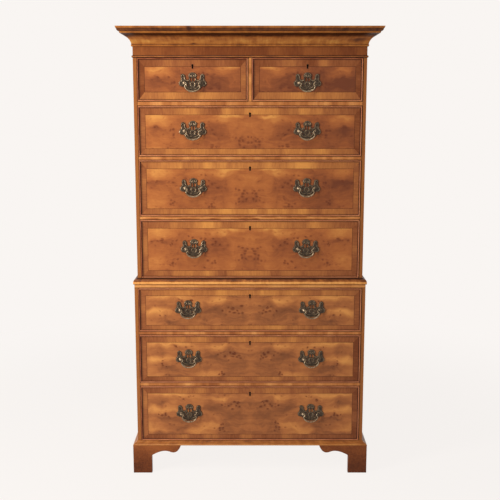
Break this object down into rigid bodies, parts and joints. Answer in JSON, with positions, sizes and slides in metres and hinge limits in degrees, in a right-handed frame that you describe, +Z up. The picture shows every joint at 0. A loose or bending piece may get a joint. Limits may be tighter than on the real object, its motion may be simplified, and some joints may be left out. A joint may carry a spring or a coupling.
{
  "type": "chest-on-chest",
  "caption": "Tall chest of drawers in two cases, with graduated cockbeaded drawers, pierced plates with swinging bails, a coved cornice and bracket feet.",
  "frame": {"origin": "on the floor, under the middle of the overall box", "axes": "+Z up; the drawers face -Y; +X to the right of someone who faces them"},
  "size_m": [1.021, 0.5106, 1.8],
  "materials": {
    "yew_veneer": "french polished, satin gloss",
    "yew_moulding": "french polished, satin gloss",
    "yew_bracket": "french polished, satin gloss",
    "yew_burr_front": "french polished burr veneer, satin gloss",
    "case_wood": "planed and sealed",
    "back_panel_wood": "stained, matt",
    "drawer_lining_wood": "planed and waxed",
    "antique_brass": "antiqued, polished on the high spots"
  },
  "bodies": {
    "case": {"base_moulding": "yew_moulding", "cornice": "yew_moulding", "foot_front_left": "yew_bracket", "foot_front_right": "yew_bracket", "foot_rear_left": "yew_bracket", "foot_rear_right": "yew_bracket", "lower_back": "back_panel_wood", "lower_carcase": "yew_veneer", "lower_divider_1": "case_wood", "lower_divider_2": "case_wood", "upper_back": "back_panel_wood", "upper_carcase": "yew_veneer", "upper_divider_1": "case_wood", "upper_divider_2": "case_wood", "upper_divider_3": "case_wood", "waist_moulding": "yew_moulding"},
    "drawer_1": {"drawer_1_box": "drawer_lining_wood", "drawer_1_front": "yew_burr_front", "drawer_1_plate": "antique_brass"},
    "drawer_1_bail": {"drawer_1_bail": "antique_brass"},
    "drawer_2": {"drawer_2_box": "drawer_lining_wood", "drawer_2_front": "yew_burr_front", "drawer_2_plate": "antique_brass"},
    "drawer_2_bail": {"drawer_2_bail": "antique_brass"},
    "drawer_3": {"drawer_3_box": "drawer_lining_wood", "drawer_3_front": "yew_burr_front", "drawer_3_plate_left": "antique_brass", "drawer_3_plate_right": "antique_brass"},
    "drawer_3_bail_left": {"drawer_3_bail_left": "antique_brass"},
    "drawer_3_bail_right": {"drawer_3_bail_right": "antique_brass"},
    "drawer_4": {"drawer_4_box": "drawer_lining_wood", "drawer_4_front": "yew_burr_front", "drawer_4_plate_left": "antique_brass", "drawer_4_plate_right": "antique_brass"},
    "drawer_4_bail_left": {"drawer_4_bail_left": "antique_brass"},
    "drawer_4_bail_right": {"drawer_4_bail_right": "antique_brass"},
    "drawer_5": {"drawer_5_box": "drawer_lining_wood", "drawer_5_front": "yew_burr_front", "drawer_5_plate_left": "antique_brass", "drawer_5_plate_right": "antique_brass"},
    "drawer_5_bail_left": {"drawer_5_bail_left": "antique_brass"},
    "drawer_5_bail_right": {"drawer_5_bail_right": "antique_brass"},
    "drawer_6": {"drawer_6_box": "drawer_lining_wood", "drawer_6_front": "yew_burr_front", "drawer_6_plate_left": "antique_brass", "drawer_6_plate_right": "antique_brass"},
    "drawer_6_bail_left": {"drawer_6_bail_left": "antique_brass"},
    "drawer_6_bail_right": {"drawer_6_bail_right": "antique_brass"},
    "drawer_7": {"drawer_7_box": "drawer_lining_wood", "drawer_7_front": "yew_burr_front", "drawer_7_plate_left": "antique_brass", "drawer_7_plate_right": "antique_brass"},
    "drawer_7_bail_left": {"drawer_7_bail_left": "antique_brass"},
    "drawer_7_bail_right": {"drawer_7_bail_right": "antique_brass"},
    "drawer_8": {"drawer_8_box": "drawer_lining_wood", "drawer_8_front": "yew_burr_front", "drawer_8_plate_left": "antique_brass", "drawer_8_plate_right": "antique_brass"},
    "drawer_8_bail_left": {"drawer_8_bail_left": "antique_brass"},
    "drawer_8_bail_right": {"drawer_8_bail_right": "antique_brass"}
  },
  "joints": [
    {"name": "drawer_1_slide", "type": "slide", "parent": "case", "child": "drawer_1", "axis": [0, -1, 0], "range_m": [0, 0.32]},
    {"name": "drawer_1_bail_hinge", "type": "hinge", "parent": "drawer_1", "child": "drawer_1_bail", "pos_m": [-0.22275, -0.21055, 1.5896], "axis": [-1, 0, 0], "range_deg": [-10, 170]},
    {"name": "drawer_2_slide", "type": "slide", "parent": "case", "child": "drawer_2", "axis": [0, -1, 0], "range_m": [0, 0.32]},
    {"name": "drawer_2_bail_hinge", "type": "hinge", "parent": "drawer_2", "child": "drawer_2_bail", "pos_m": [0.22275, -0.21055, 1.5896], "axis": [-1, 0, 0], "range_deg": [-10, 170]},
    {"name": "drawer_3_slide", "type": "slide", "parent": "case", "child": "drawer_3", "axis": [0, -1, 0], "range_m": [0, 0.32]},
    {"name": "drawer_3_bail_left_hinge", "type": "hinge", "parent": "drawer_3", "child": "drawer_3_bail_left", "pos_m": [-0.224, -0.21055, 1.4043], "axis": [-1, 0, 0], "range_deg": [-10, 170]},
    {"name": "drawer_3_bail_right_hinge", "type": "hinge", "parent": "drawer_3", "child": "drawer_3_bail_right", "pos_m": [0.224, -0.21055, 1.4043], "axis": [-1, 0, 0], "range_deg": [-10, 170]},
    {"name": "drawer_4_slide", "type": "slide", "parent": "case", "child": "drawer_4", "axis": [0, -1, 0], "range_m": [0, 0.32]},
    {"name": "drawer_4_bail_left_hinge", "type": "hinge", "parent": "drawer_4", "child": "drawer_4_bail_left", "pos_m": [-0.224, -0.21055, 1.1808], "axis": [-1, 0, 0], "range_deg": [-10, 170]},
    {"name": "drawer_4_bail_right_hinge", "type": "hinge", "parent": "drawer_4", "child": "drawer_4_bail_right", "pos_m": [0.224, -0.21055, 1.1808], "axis": [-1, 0, 0], "range_deg": [-10, 170]},
    {"name": "drawer_5_slide", "type": "slide", "parent": "case", "child": "drawer_5", "axis": [0, -1, 0], "range_m": [0, 0.32]},
    {"name": "drawer_5_bail_left_hinge", "type": "hinge", "parent": "drawer_5", "child": "drawer_5_bail_left", "pos_m": [-0.224, -0.21055, 0.9373], "axis": [-1, 0, 0], "range_deg": [-10, 170]},
    {"name": "drawer_5_bail_right_hinge", "type": "hinge", "parent": "drawer_5", "child": "drawer_5_bail_right", "pos_m": [0.224, -0.21055, 0.9373], "axis": [-1, 0, 0], "range_deg": [-10, 170]},
    {"name": "drawer_6_slide", "type": "slide", "parent": "case", "child": "drawer_6", "axis": [0, -1, 0], "range_m": [0, 0.32]},
    {"name": "drawer_6_bail_left_hinge", "type": "hinge", "parent": "drawer_6", "child": "drawer_6_bail_left", "pos_m": [-0.25, -0.22255, 0.68985], "axis": [-1, 0, 0], "range_deg": [-10, 170]},
    {"name": "drawer_6_bail_right_hinge", "type": "hinge", "parent": "drawer_6", "child": "drawer_6_bail_right", "pos_m": [0.25, -0.22255, 0.68985], "axis": [-1, 0, 0], "range_deg": [-10, 170]},
    {"name": "drawer_7_slide", "type": "slide", "parent": "case", "child": "drawer_7", "axis": [0, -1, 0], "range_m": [0, 0.32]},
    {"name": "drawer_7_bail_left_hinge", "type": "hinge", "parent": "drawer_7", "child": "drawer_7_bail_left", "pos_m": [-0.25, -0.22255, 0.48455], "axis": [-1, 0, 0], "range_deg": [-10, 170]},
    {"name": "drawer_7_bail_right_hinge", "type": "hinge", "parent": "drawer_7", "child": "drawer_7_bail_right", "pos_m": [0.25, -0.22255, 0.48455], "axis": [-1, 0, 0], "range_deg": [-10, 170]},
    {"name": "drawer_8_slide", "type": "slide", "parent": "case", "child": "drawer_8", "axis": [0, -1, 0], "range_m": [0, 0.32]},
    {"name": "drawer_8_bail_left_hinge", "type": "hinge", "parent": "drawer_8", "child": "drawer_8_bail_left", "pos_m": [-0.25, -0.22255, 0.2521], "axis": [-1, 0, 0], "range_deg": [-10, 170]},
    {"name": "drawer_8_bail_right_hinge", "type": "hinge", "parent": "drawer_8", "child": "drawer_8_bail_right", "pos_m": [0.25, -0.22255, 0.2521], "axis": [-1, 0, 0], "range_deg": [-10, 170]}
  ]
}
